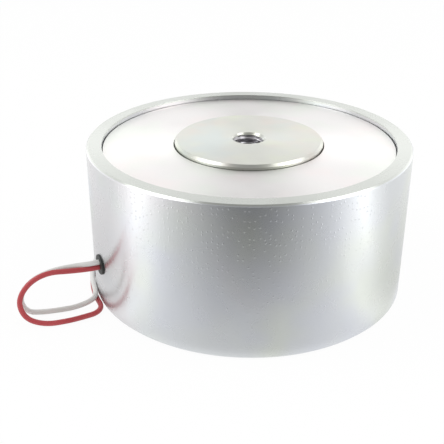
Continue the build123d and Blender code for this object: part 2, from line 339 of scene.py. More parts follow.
@dataclass(frozen=True)
class TurnedMetal:
    """A lathe-turned metal surface.

    The tool leaves fine grooves round the axis. They spread a highlight across themselves and keep it
    narrow along themselves, so a wall shows upright bands of light and a face shows fans.

    tint_edge holds the noise values between which a tint sets in, and patch_share the size of the patches
    of roughness as a share of the tints' clouds. A speck fades over speck_edge, in parts of its cell, and
    the share of cells that hold one goes from the first speck_share to the second over speck_heights.
    """

    name: str
    colour: str
    tints: tuple[str, ...]
    tint_size: float
    roughness: float
    anisotropy: float
    groove_spacing: float
    groove_depth: float
    groove_run: float = 25.0 * MM
    groove_rise: float = 0.7
    spread_turn: float = 0.25
    tint_shift: tuple[float, float, float] = (110.0 * MM, 70.0 * MM, 50.0 * MM)
    tint_edge: tuple[float, float] = (0.45, 0.68)
    patch_share: float = 0.4
    roughness_drift: float = 0.08
    speck_depth: float = 0.0
    speck_size: tuple[float, float] = (1.1 * MM, 1.3 * MM)
    speck_edge: tuple[float, float] = (0.21, 0.05)
    speck_scatter: float = 0.6
    speck_heights: tuple[float, float] = (8.0 * MM, 30.0 * MM)
    speck_share: tuple[float, float] = (0.12, 0.45)
    wall_radius: float = 40.0 * MM
    wall_reach: float = 0.1 * MM
    rim_colour: str = ""
    rim_height: float = 37.7 * MM
    bore_colour: str = ""
    bore_radius: float = 4.05 * MM
    bore_middle: float = 19.0 * MM
    bore_reach: float = 18.35 * MM

    def build(self) -> bpy.types.Material:
        """Makes the material: its colour and roughness, then the bumps, then the way the grooves run.

        Returns:
            The finished material.
        """
        material, tree, shader = principled(self.name)
        place = add_node(tree, "TexCoord").outputs["Object"]
        axes = add_node(tree, "SeparateXYZ", in0=place).outputs
        flat = add_node(tree, "VectorMath", {"operation": "MULTIPLY"}, in0=place, in1=(1.0, 1.0, 0.0))
        radius = add_node(tree, "VectorMath", {"operation": "LENGTH"}, in0=flat.outputs[0])
        on = Turning(tree, place, axes, radius.outputs["Value"])
        normal = add_node(
            tree, "Bump", Height=self._grooves(on), Distance=self.groove_depth, Strength=1.0).outputs[0]
        if self.speck_depth:
            normal = add_node(
                tree, "Bump", Height=self._specks(on), Distance=self.speck_depth, Strength=1.0,
                Normal=normal).outputs[0]
        tree.links.new(self._colour(on), shader.inputs["Base Color"])
        tree.links.new(self._roughness(on), shader.inputs["Roughness"])
        tree.links.new(normal, shader.inputs["Normal"])
        tree.links.new(self._groove_direction(on), shader.inputs["Tangent"])
        shader.inputs["Metallic"].default_value = 1.0
        shader.inputs["Anisotropic"].default_value = self.anisotropy
        shader.inputs["Anisotropic Rotation"].default_value = self.spread_turn
        return material

    def _colour(self, on: Turning) -> bpy.types.NodeSocket:
        """Metal's colour with a soft cloud of each tint, and other colours on the rim and in the bore.

        Args:
            on: the node tree and the place.

        Returns:
            The colour's socket.
        """
        colour = linear(self.colour)
        layers = []
        for number, tint in enumerate(self.tints):
            shifted = add_node(
                on.tree, "Mapping", Vector=on.place, Location=[number * part for part in self.tint_shift])
            cloud = add_node(
                on.tree, "TexNoise", Vector=shifted.outputs[0], Scale=1 / self.tint_size, Detail=2.0,
                Roughness=0.5)
            layers.append((tint, add_node(
                on.tree, "MapRange", SMOOTH, Value=cloud.outputs["Fac"], From_Min=self.tint_edge[0],
                From_Max=self.tint_edge[1])))
        if self.rim_colour:
            layers.append((self.rim_colour, add_node(
                on.tree, "Math", {"operation": "GREATER_THAN"}, in0=on.axes[2], in1=self.rim_height)))
        if self.bore_colour:
            # COMPARE is 1 where two values differ by no more than the third.
            between_ends = add_node(
                on.tree, "Math", {"operation": "COMPARE"}, in0=on.axes[2], in1=self.bore_middle,
                in2=self.bore_reach)
            near_axis = add_node(
                on.tree, "Math", {"operation": "LESS_THAN"}, in0=on.radius, in1=self.bore_radius)
            layers.append((self.bore_colour, add_node(
                on.tree, "Math", {"operation": "MULTIPLY"}, in0=between_ends.outputs[0],
                in1=near_axis.outputs[0])))
        for tint, share in layers:
            colour = add_node(
                on.tree, "Mix", {"data_type": "RGBA"}, in0=share.outputs[0], in6=colour,
                in7=linear(tint)).outputs[2]
        return colour

    def _roughness(self, on: Turning) -> bpy.types.NodeSocket:
        """Roughness that drifts a little in patches smaller than the tints' clouds.

        Args:
            on: the node tree and the place.

        Returns:
            The roughness socket.
        """
        patches = add_node(
            on.tree, "TexNoise", Vector=on.place, Scale=1 / (self.patch_share * self.tint_size), Detail=3.0)
        return add_node(
            on.tree, "MapRange", Value=patches.outputs["Fac"], From_Min=NOISE_MIDDLE[0],
            From_Max=NOISE_MIDDLE[1], To_Min=self.roughness * (1 - self.roughness_drift),
            To_Max=self.roughness * (1 + self.roughness_drift)).outputs[0]

    def _grooves(self, on: Turning) -> bpy.types.NodeSocket:
        """Height of the tool marks: noise that changes fast across them and slowly along them.

        The fast way is the radius plus a share of the height, so it crosses the grooves of faces, chamfers
        and walls alike.

        Args:
            on: the node tree and the place.

        Returns:
            The height's socket.
        """
        across = add_node(
            on.tree, "Math", {"operation": "MULTIPLY_ADD"}, in0=on.axes[2], in1=self.groove_rise,
            in2=on.radius)
        marks = add_node(on.tree, "CombineXYZ", X=on.axes[0], Y=on.axes[1], Z=across.outputs[0])
        scaled = add_node(
            on.tree, "VectorMath", {"operation": "DIVIDE"}, in0=marks.outputs[0],
            in1=(self.groove_run, self.groove_run, self.groove_spacing))
        return add_node(
            on.tree, "TexNoise", Vector=scaled.outputs[0], Scale=1.0, Detail=3.0,
            Roughness=0.6).outputs["Fac"]

    def _specks(self, on: Turning) -> bpy.types.NodeSocket:
        """Height of tiny pimples in the wall's plating: a round dot in some cells of a loose lattice.

        The lattice is laid round the wall, by the angle from the front and the height, with its seam
        behind. More of its cells hold a dot near the rim than near the foot.

        Args:
            on: the node tree and the place.

        Returns:
            The height's socket.
        """
        front = add_node(on.tree, "Math", {"operation": "MULTIPLY"}, in0=on.axes[1], in1=-1.0)
        angle = add_node(on.tree, "Math", {"operation": "ARCTAN2"}, in0=on.axes[0], in1=front.outputs[0])
        unrolled = add_node(on.tree, "CombineXYZ", X=angle.outputs[0], Y=on.axes[2])
        cell = add_node(
            on.tree, "VectorMath", {"operation": "DIVIDE"}, in0=unrolled.outputs[0],
            in1=(self.speck_size[0] / self.wall_radius, self.speck_size[1], 1.0))
        dots = add_node(
            on.tree, "TexVoronoi", {"voronoi_dimensions": "2D"}, Vector=cell.outputs[0], Scale=1.0,
            Randomness=self.speck_scatter)
        dot = add_node(
            on.tree, "MapRange", SMOOTH, Value=dots.outputs["Distance"], From_Min=self.speck_edge[0],
            From_Max=self.speck_edge[1])
        chance = add_node(on.tree, "SeparateColor", in0=dots.outputs["Color"])
        share = add_node(
            on.tree, "MapRange", Value=on.axes[2], From_Min=self.speck_heights[0],
            From_Max=self.speck_heights[1], To_Min=self.speck_share[0], To_Max=self.speck_share[1])
        kept = add_node(
            on.tree, "Math", {"operation": "LESS_THAN"}, in0=chance.outputs[0], in1=share.outputs[0])
        on_wall = add_node(
            on.tree, "Math", {"operation": "GREATER_THAN"}, in0=on.radius,
            in1=self.wall_radius - self.wall_reach)
        height = dot.outputs[0]
        for part in (kept, on_wall):
            height = add_node(
                on.tree, "Math", {"operation": "MULTIPLY"}, in0=height, in1=part.outputs[0]).outputs[0]
        return height

    def _groove_direction(self, on: Turning) -> bpy.types.NodeSocket:
        """Way the grooves run: the Z axis crossed with the place, at length 1.

        Args:
            on: the node tree and the place.

        Returns:
            The direction's socket.
        """
        crossed = add_node(
            on.tree, "VectorMath", {"operation": "CROSS_PRODUCT"}, in0=(0.0, 0.0, 1.0), in1=on.place)
        return add_node(
            on.tree, "VectorMath", {"operation": "NORMALIZE"}, in0=crossed.outputs[0]).outputs[0]


@dataclass(frozen=True)
class Moulded:
    """A plain non-metal: moulded, extruded, cast or wound, with a faint grain and uneven colour."""

    name: str
    colour: str
    second: str
    roughness: float
    ior: float = 1.5
    grain_size: float = 0.3 * MM
    grain_depth: float = 0.01 * MM
    cloud_size: float = 6.0 * MM
    cloud_edge: tuple[float, float] = (0.35, 0.65)

    def build(self) -> bpy.types.Material:
        """Makes the material: two close colours in soft clouds, and a fine bumpy grain.

        Returns:
            The finished material.
        """
        material, tree, shader = principled(self.name)
        place = add_node(tree, "TexCoord").outputs["Object"]
        cloud = add_node(tree, "TexNoise", Vector=place, Scale=1 / self.cloud_size, Detail=3.0)
        ramp = add_node(tree, "ValToRGB", Fac=cloud.outputs["Fac"])
        for stop, position, colour in zip(
                ramp.color_ramp.elements, self.cloud_edge, (self.colour, self.second)):
            stop.position, stop.color = position, linear(colour)
        grain = add_node(tree, "TexNoise", Vector=place, Scale=1 / self.grain_size, Detail=2.0)
        bump = add_node(tree, "Bump", Height=grain.outputs["Fac"], Distance=self.grain_depth, Strength=1.0)
        tree.links.new(ramp.outputs["Color"], shader.inputs["Base Color"])
        tree.links.new(bump.outputs["Normal"], shader.inputs["Normal"])
        shader.inputs["Roughness"].default_value = self.roughness
        shader.inputs["IOR"].default_value = self.ior
        return material


@dataclass(frozen=True)
class WireMetal:
    """A drawn or dipped metal: bright, with small uneven waves left by the tin or the enamel."""

    name: str
    colour: str
    roughness: float
    wave_size: float = 0.5 * MM
    wave_depth: float = 0.02 * MM
    roughness_drift: float = 0.2

    def build(self) -> bpy.types.Material:
        """Makes the material: one colour, a wavy surface and a roughness that follows the waves.

        Returns:
            The finished material.
        """
        material, tree, shader = principled(self.name)
        place = add_node(tree, "TexCoord").outputs["Object"]
        waves = add_node(tree, "TexNoise", Vector=place, Scale=1 / self.wave_size, Detail=2.0)
        bump = add_node(tree, "Bump", Height=waves.outputs["Fac"], Distance=self.wave_depth, Strength=1.0)
        rough = add_node(
            tree, "MapRange", Value=waves.outputs["Fac"],
            To_Min=self.roughness * (1 - self.roughness_drift),
            To_Max=self.roughness * (1 + self.roughness_drift))
        shader.inputs["Base Color"].default_value = linear(self.colour)
        shader.inputs["Metallic"].default_value = 1.0
        tree.links.new(bump.outputs["Normal"], shader.inputs["Normal"])
        tree.links.new(rough.outputs[0], shader.inputs["Roughness"])
        return material


# Mild steel, turned and then bright zinc plated. The plating is cool and mirror-like along the tool marks,
# with faint yellow, violet and blue clouds of passivation and small pimples, and greener on the faced rim.
# Real tool marks are 0.1 mm apart: they are drawn 0.5 mm apart, and the pimples 0.4 mm across, to show.
ZINC_WALL = TurnedMetal(
    "bright_zinc_on_turned_steel", "#D7DADC", ("#D9DDD7", "#DBDADC", "#D5D8DE"), 22 * MM, 0.27, 0.92,
    0.5 * MM, 0.002 * MM, speck_depth=0.03 * MM, rim_colour="#CFD2CD",
)
# Steel faced flat and zinc plated, with a yellower passivation: duller than the wall, in pale green, rose
# and blue clouds. In the tapped hole the plating is thin and grey. Its tool marks, really 0.1 mm apart, are
# drawn 0.35 mm apart to show.
ZINC_POLE = TurnedMetal(
    "yellow_passivated_zinc_on_steel", "#CBCCC5", ("#CED1C1", "#CFCAC3", "#C6CCC9"), 13 * MM, 0.30, 0.55,
    0.35 * MM, 0.002 * MM, bore_colour="#C4C2C6",
)
# Aluminium sheet, turned with a fine feed: whiter and softer than the zinc, with a fan of light to each
# side. Its marks are drawn 0.4 mm apart, where the real ones are too fine to show.
ALUMINIUM_PLATE = TurnedMetal(
    "fine_turned_aluminium", "#ECEAE9", ("#EFE9E8", "#E9EBE6"), 16 * MM, 0.38, 0.80, 0.4 * MM, 0.002 * MM,
)
# Rubber from a mould: near black and matt, with a grain that softens its highlights. The grain of such a
# mould is a few hundredths of a millimetre, and is drawn 0.12 mm wide to show.
BUSH_RUBBER = Moulded(
    "moulded_black_rubber", "#1C1F1D", "#262926", 0.5, 1.52, 0.12 * MM, 0.012 * MM, 1.5 * MM)


# Sub-assemblies

@dataclass
class PotHousing:
    """Turned steel cup, open at the top, with a hole through its wall for the bush."""

    wall: float = 3.75 * MM
    base: float = 8.0 * MM
    rim_chamfer: float = 0.5 * MM
    foot_chamfer: float = 0.8 * MM
    corner_radius: float = 0.5 * MM
    spigot_radius: float = 12.0 * MM
    edge_radius: float = 0.12 * MM
    segments: int = 256

    def build(self, bush: "LeadBush") -> bpy.types.Object:
        """Makes the cup from its half section and drills the bush hole.

        Args:
            bush: the bush, which says where the hole goes.

        Returns:
            The finished piece.
        """
        low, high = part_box("pot_housing")
        radius, height = high.x, high.z
        inside = radius - self.wall
        corners = [
            (self.spigot_radius, low.z), (radius - self.foot_chamfer, low.z), (radius, self.foot_chamfer),
            (radius, height - self.rim_chamfer), (radius - self.rim_chamfer, height), (inside, height),
            (inside, self.base), (self.spigot_radius, self.base),
        ]
        edge = self.edge_radius
        section = rounded(corners, [edge, edge, edge, edge, edge, edge, self.corner_radius, edge])
        piece = turned_object("turned_pot", section, self.segments)
        drill(piece, [bush.hole_cutter(inside, radius)])
        dress(piece, ZINC_WALL.build())
        return report(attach(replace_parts(piece, "pot_housing"), "root"))


@dataclass
class PoleCore:
    """Steel pole with a shouldered spigot, and a threaded hole right through it.

    flank holds the parts of a pitch, counted from a groove's middle, between which its flank lies: the
    standard thread is flat for an eighth of the pitch at its root and for a quarter at its core.
    """

    spigot_radius: float = 12.0 * MM
    spigot_chamfer: float = 0.3 * MM
    shoulder: float = 8.0 * MM
    face_chamfer: float = 0.6 * MM
    core_radius: float = 3.4 * MM
    thread_radius: float = 4.0 * MM
    mouth_radius: float = 4.2 * MM
    pitch: float = 1.25 * MM
    rows_per_pitch: int = 10
    flank: tuple[float, float] = (0.0625, 0.375)
    edge_radius: float = 0.08 * MM
    segments: int = 160

    def build(self) -> bpy.types.Object:
        """Makes the pole as one closed surface: up the threaded hole, over the face and down outside.

        The outer section is rounded as a closed one. Of its two corners at the mouths only the support
        points on the faces are kept, because the hole's surface joins it there.

        Returns:
            The finished piece.
        """
        low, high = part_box("pole_core")
        radius, height = high.x, high.z
        mouth, foot = self.mouth_radius + 2 * self.edge_radius, self.spigot_radius
        corners = [
            (mouth, height), (radius - self.face_chamfer, height), (radius, height - self.face_chamfer),
            (radius, self.shoulder), (foot, self.shoulder), (foot, self.spigot_chamfer),
            (foot - self.spigot_chamfer, low.z), (mouth, low.z),
        ]
        outer = rounded(corners, [self.edge_radius] * len(corners))
        angle = np.arange(self.segments) * 2 * math.pi / self.segments
        rise = np.linspace(low.z, height, round(height / self.pitch) * self.rows_per_pitch + 1)
        bore = self.bore_radius(rise[:, None], angle[None, :], height)
        hole = np.stack([bore * np.cos(angle), bore * np.sin(angle), rise[:, None] + 0 * angle], -1)
        mouth_points = ROUND_STEPS + 2
        points = np.concatenate([hole, turn(outer[mouth_points:-mouth_points], self.segments)])
        piece = make_object("threaded_pole", points, grid_quads(len(points), self.segments, True, True))
        dress(piece, ZINC_POLE.build())
        return report(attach(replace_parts(piece, "pole_core"), "root"))

    def bore_radius(self, rise: np.ndarray, angle: np.ndarray, height: float) -> np.ndarray:
        """Radius of the hole at a height and an angle.

        The phase is how far the height over the pitch, less the angle over a full turn, lies from a
        groove's middle. The groove has its full depth up to the flank's first phase, and from there rises
        straight to the core at its second. At each end a 45 degree countersink cuts it away, so the
        radius is the larger of the two.

        Args:
            rise: heights.
            angle: angles in radians.
            height: the pole's height.

        Returns:
            The radius at each place.
        """
        phase = np.abs((rise / self.pitch - angle / (2 * math.pi)) % 1.0 - 0.5)
        groove = np.clip((self.flank[1] - phase) / (self.flank[1] - self.flank[0]), 0, 1)
        thread = self.core_radius + (self.thread_radius - self.core_radius) * groove
        countersink = self.mouth_radius - np.minimum(rise, height - rise)
        return np.maximum(thread, countersink)


@dataclass
class CoverPlate:
    """Thin turned aluminium ring that lies below the rim."""

    inner_radius: float = 18.65 * MM
    edge_radius: float = 0.08 * MM
    segments: int = 256

    def build(self) -> bpy.types.Object:
        """Makes the ring with its edges broken.

        Returns:
            The finished piece.
        """
        low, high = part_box("cover_plate")
        corners = [
            (self.inner_radius, low.z), (high.x, low.z), (high.x, high.z), (self.inner_radius, high.z)]
        section = rounded(corners, [self.edge_radius] * len(corners))
        piece = turned_object("turned_cover_plate", section, self.segments)
        dress(piece, ALUMINIUM_PLATE.build())
        return report(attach(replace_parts(piece, "cover_plate"), "root"))


@dataclass
class LeadBush:
    """Push-in rubber bush: a flange on the wall, a sleeve through it and a lip behind it.

    Its inner corners have the crisp radius, and its corners on the axis the point radius, which is none.
    """

    azimuth: float = 205.5
    height: float = 11.7 * MM
    flange_radius: float = 2.55 * MM
    flange_thickness: float = 0.4 * MM
    sleeve_radius: float = 1.9 * MM
    hole_radius: float = 1.95 * MM
    lip_radius: float = 2.25 * MM
    lip_thickness: float = 0.6 * MM
    lead_radius: float = 0.65 * MM
    lead_spacing: float = 1.4 * MM
    edge_radius: float = 0.12 * MM
    crisp_radius: float = 0.01 * MM
    point_radius: float = 1e-9
    seat_reach: float = 0.2 * MM
    wall: float = 3.75 * MM
    segments: int = 64
    bore_segments: int = 30

    @property
    def outward(self) -> Vector:
        """Direction in which the bush points."""
        return Vector((math.cos(math.radians(self.azimuth)), math.sin(math.radians(self.azimuth)), 0))

    def at(self, radius: float, height: float) -> Vector:
        """Place at a radius from the pot's axis, on the bush's azimuth."""
        return self.outward * radius + Vector((0, 0, height))

    def lead_height(self, side: int) -> float:
        """Height of the lower lead, side -1, or the upper one, side 1."""
        return self.height + side * self.lead_spacing / 2

    def hole_cutter(self, inside: float, radius: float) -> bpy.types.Object:
        """Cutter for the hole in the wall, from well inside it to well outside."""
        start, end = self.at(inside - self.wall, self.height), self.at(radius + self.wall, self.height)
        return rod_object("bush_hole", start, end, self.hole_radius, self.segments)

    def build(self) -> bpy.types.Object:
        """Makes the bush: its section turned about its own axis, then bent onto the wall.

        A point that is near the wall's outer or inner face moves along the axis to sqrt(R^2 - a^2), where R
        is that face's radius and a is how far aside the point lies.

        Returns:
            The finished piece.
        """
        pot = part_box("pot_housing")[1].x
        inside = pot - self.wall
        face, back = pot + self.flange_thickness, inside - self.lip_thickness
        edge, crisp, point = self.edge_radius, self.crisp_radius, self.point_radius
        section = rounded([
            (AXIS_RADIUS, back), (self.lip_radius, back), (self.lip_radius, inside),
            (self.sleeve_radius, inside), (self.sleeve_radius, pot), (self.flange_radius, pot),
            (self.flange_radius, face), (AXIS_RADIUS, face),
        ], [point, edge, crisp, crisp, crisp, crisp, edge * 1.5, point])
        local = turn(section, self.segments)
        aside, up, along = local[..., 0], local[..., 1], local[..., 2]
        for wall in (pot, inside):
            on_wall = np.abs(along - wall) < self.seat_reach
            along = np.where(on_wall, along - wall + np.sqrt(wall ** 2 - aside ** 2), along)
        out = np.array(self.outward)
        sideways = np.array((-out[1], out[0], 0))
        points = along[..., None] * out + aside[..., None] * sideways + up[..., None] * UP
        points[..., 2] += self.height
        piece = make_object("rubber_bush", points, grid_quads(*points.shape[:2], True, True))
        bores = [
            rod_object(
                f"bore_{side}", self.at(back - self.wall, self.lead_height(side)),
                self.at(face + self.wall, self.lead_height(side)), self.lead_radius, self.bore_segments)
            for side in (-1, 1)
        ]
        drill(piece, bores)
        dress(piece, BUSH_RUBBER.build())
        return report(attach(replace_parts(piece, "lead_bush"), "root"))


@dataclass
class FreeLead:
    """One lead outside the pot: a loop in the air, the way round the pot, and a put-away coil.

    The route runs from the bush down to the floor and round the pot's foot. The coil goes clockwise through
    turned_through. Over the first two of inner_turns it narrows and over the last two it widens again, and
    over climb it rises onto its lower layer. The tail's points lie at tail_shares of its length and at
    tail_heights diameters above the floor.
    """

    name: str
    side: int
    colour: tuple[str, str]
    slot: str
    route: list[tuple[float, float, float]]
    coil_centre: tuple[float, float]
    coil_heading: float
    tail_heading: float
    turned_through: float
    coil_mid_diameter: float
    length: float
    diameter: float = 1.3 * MM
    strands_diameter: float = 0.8 * MM
    exit_run: float = 2.0 * MM
    entry_length: float = 7.0 * MM
    approach_run: float = 3.5 * MM
    tail_length: float = 16.0 * MM
    tip_length: float = 6.0 * MM
    coil_step: float = 15.0
    inner_turns: tuple[float, ...] = (300.0, 360.0, 900.0, 960.0)
    climb: tuple[float, float] = (600.0, 660.0)
    tail_shares: tuple[float, ...] = (0.25, 0.45, 0.65, 0.8, 1.0)
    tail_heights: tuple[float, ...] = (1.5, 1.1, 0.5, 0.5, 0.5)
    strand_count: int = 7
    strand_lay: float = 7.0 * MM
    strand_rows: int = 25
    strand_sides: int = 10
    strand_overlap: float = 0.4 * MM
    strand_sharp: float = 60.0

    def heading(self, angle: float) -> np.ndarray:
        """Unit vector in the floor plane, at an angle in degrees from +X."""
        return np.array((math.cos(math.radians(angle)), math.sin(math.radians(angle)), 0.0))

    def coil_points(self) -> np.ndarray:
        """Centreline of the coil, clockwise.

        The radius and the height are the outer and lower ones, the inner and lower, the inner and upper
        and then the outer and upper ones, with a straight change between each two. At turn t the place is
        the centre plus the radius at the angle heading + 90 - t.

        Returns:
            An array of points.
        """
        r, step = self.diameter / 2, self.coil_step
        outer, inner = self.coil_mid_diameter / 2 + r, self.coil_mid_diameter / 2 - r
        t = np.append(np.arange(0, self.turned_through, step), self.turned_through)
        radius = np.interp(t, self.inner_turns, [outer, inner, inner, outer])
        height = np.interp(t, self.climb, [r, 3 * r])
        angle = np.radians(self.coil_heading + 90 - t)
        centre = np.array(self.coil_centre)
        return np.stack(
            [centre[0] + radius * np.cos(angle), centre[1] + radius * np.sin(angle), height], -1)

    def control_points(self, bush: LeadBush) -> np.ndarray:
        """All points that steer the lead, from the bush to its stripped end.

        Args:
            bush: the bush that the lead leaves by.

        Returns:
            An array of points.
        """
        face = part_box("pot_housing")[1].x + bush.flange_thickness
        level = bush.lead_height(self.side)
        coil = self.coil_points()
        towards, away = self.heading(self.coil_heading), self.heading(self.tail_heading)
        start = coil[0] - towards * self.entry_length
        tail = coil[-1] + self.tail_length * np.array(self.tail_shares)[:, None] * away
        tail[:, 2] = self.diameter * np.array(self.tail_heights)
        return np.concatenate([
            [bush.at(face, level), bush.at(face + self.exit_run, level)], self.route,
            [start - towards * self.approach_run, start], coil, tail,
        ])

    def build(self, bush: LeadBush, gland: bpy.types.Object) -> bpy.types.Object:
        """Args:
            bush: the bush that the lead leaves by.
            gland: the bush's own piece; not used.

        Returns:
            The finished lead.
        """
        points = self.control_points(bush)
        curve = bpy.data.curves.new(self.name, "CURVE")
        curve.dimensions = "3D"
        spline = curve.splines.new("NURBS")
        spline.points.add(len(points) - 1)
        weights = np.ones((len(points), 1))
        spline.points.foreach_set("co", np.hstack([points, weights]).ravel())
        spline.order_u = 3
        spline.use_endpoint_u = True
        spline.resolution_u = 8
        curve.bevel_depth = self.diameter / 2
        curve.bevel_resolution = 5
        curve.use_fill_caps = True
        lead = bpy.data.objects.new(f"{self.name}_insulation", curve)
        bpy.context.scene.collection.objects.link(lead)
        # PVC pushed through a die: a satin skin, whose slight waves show as an uneven gloss.
        dress(lead, Moulded(
            f"extruded_{self.name}_pvc", *self.colour, 0.38, 1.53, 0.5 * MM, 0.006 * MM, 9 * MM).build())
        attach(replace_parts(lead, self.name, f"{self.name}_coil"), "root")
        tip = self.build_tip(points[-1])
        return report(lead)

    def build_tip(self, start: np.ndarray) -> bpy.types.Object:
        """Stripped and tinned end: seven strands, six of them in a helix round the first.

        A strand's centre is its distance from the tip's axis at an angle that grows with the length, and
        the strand's own surface is a circle about that centre. Its ends close on their centres.

        Args:
            start: where the insulation ends.

        Returns:
            The finished piece.
        """
        strand_radius = self.strands_diameter / 6
        along = np.linspace(-self.strand_overlap, self.tip_length, self.strand_rows)
        along = np.concatenate([along[:1], along, along[-1:]])
        size = np.concatenate([[AXIS_RADIUS], np.full(self.strand_rows, strand_radius), [AXIS_RADIUS]])
        number = np.arange(self.strand_count)
        off_axis = np.where(number == 0, 0.0, 2 * strand_radius)
        twist = 2 * math.pi * (number[:, None] / (self.strand_count - 1) + along[None, :] / self.strand_lay)
        around = np.arange(self.strand_sides) * 2 * math.pi / self.strand_sides
        aside = off_axis[:, None, None] * np.cos(twist)[..., None] + size[None, :, None] * np.cos(around)
        up = off_axis[:, None, None] * np.sin(twist)[..., None] + size[None, :, None] * np.sin(around)
        forward = self.heading(self.tail_heading)
        sideways = self.heading(self.tail_heading + 90)
        points = (
            start + along[None, :, None, None] * forward + aside[..., None] * sideways
            + up[..., None] * UP
        )
        one = grid_quads(len(along), self.strand_sides, False, True)
        quads = np.concatenate([one + k * len(along) * self.strand_sides for k in number])
        tip = make_object(f"{self.name}_strands", points, quads, self.strand_sharp)
        # Copper strands dipped in tin: a warm grey metal with small blobs that break up its shine.
        dress(tip, WireMetal(f"tinned_strands_{self.name}", "#CFCBC2", 0.32, 0.4 * MM, 0.02 * MM).build())
        return report(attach(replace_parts(tip, f"{self.name}_tip"), "root"))


@dataclass
class InnerPieces:
    """What the sealed pot holds: the CAD pieces stay and get their finishes."""

    finishes: dict[str, Moulded | WireMetal] = field(default_factory=lambda: {
        # Nylon from a mould: cream, half matt.
        "coil_bobbin": Moulded("moulded_nylon_bobbin", "#D9D4C4", "#E0DCCF", 0.45, 1.53),
        # Close turns of enamelled copper: a reddish metal with small ridges.
        "coil_winding": WireMetal("enamelled_copper_winding", "#B5532E", 0.3, 0.5 * MM, 0.08 * MM),
        # Polyester tape: yellow and glossy.
        "winding_wrap": Moulded("polyester_winding_tape", "#D6A93C", "#DDB450", 0.3, 1.57),
        # Braided glass: off-white and dull, with a coarse grain.
        "start_sleeving": Moulded("braided_glass_sleeving", "#D8D5C8", "#E4E1D6", 0.8, 1.5, 0.15 * MM),
        # Enamelled copper wire: a smooth reddish metal.
        "start_tail": WireMetal("enamelled_copper_start", "#B5532E", 0.28),
        "finish_tail": WireMetal("enamelled_copper_finish", "#B5532E", 0.28),
        # PVC insulation as outside the pot: satin.
        "red_lead_inner": Moulded("extruded_red_pvc_inside", "#B23A40", "#BB454A", 0.4, 1.53),
        "white_lead_inner": Moulded("extruded_white_pvc_inside", "#E2E2DE", "#EBEBE8", 0.4, 1.53),
        # Tin solder: grey metal, softly uneven.
        "red_splice": WireMetal("red_lead_solder", "#B9B8B2", 0.35),
        "white_splice": WireMetal("white_lead_solder", "#B9B8B2", 0.35),
        # Shrunk polyolefin tube: black, half matt.
        "red_splice_sleeve": Moulded("red_lead_shrink_tube", "#1D1D1E", "#262627", 0.5, 1.5),
        "white_splice_sleeve": Moulded("white_lead_shrink_tube", "#1D1D1E", "#262627", 0.5, 1.5),
        # Epoxy poured and set: black and glossy, with slow ripples.
        "potting_resin": Moulded("cast_black_epoxy", "#191817", "#23211F", 0.35, 1.56, 1.2 * MM, 0.03 * MM),
    })

    def build(self, nodes: dict[str, bpy.types.Object]) -> None:
        """Dresses each inner piece.

        Args:
            nodes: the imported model's objects by name.
        """
        for name, finish in self.finishes.items():
            dress(nodes[name], finish.build())
            report(nodes[name])


# Camera and studio

@dataclass
class Camera:
    """The photograph's viewpoint: just left of the middle, looking down at the face.

    It was fitted to the circles of rim, foot and pole. look_down and roll are in radians.
    """

    place: tuple[float, float, float] = (-6.6 * MM, -184.03 * MM, 104.57 * MM)
    look_down: float = 0.4539
    roll: float = 0.0019
    focal_pixels: float = 784.59
    frame_pixels: float = 444.0
    sensor: float = 36.0
    clip: tuple[float, float] = (0.01, 10.0)

    def build(self) -> None:
        """Makes the camera: its right, up and backward axes are the columns of its matrix."""
        data = bpy.data.cameras.new("photo_camera")
        data.sensor_width = self.sensor
        data.lens = self.focal_pixels / self.frame_pixels * self.sensor
        data.clip_start, data.clip_end = self.clip
        camera = bpy.data.objects.new("photo_camera", data)
        ahead = Vector((0, math.cos(self.look_down), -math.sin(self.look_down)))
        level = Vector((0, math.sin(self.look_down), math.cos(self.look_down)))
        right = Vector((math.cos(self.roll), 0, 0)) + level * math.sin(self.roll)
        up = right.cross(ahead)
        turned = Matrix((right, up, -ahead)).transposed().to_4x4()
        camera.matrix_world = Matrix.Translation(self.place) @ turned
        bpy.context.scene.collection.objects.link(camera)
        bpy.context.scene.camera = camera


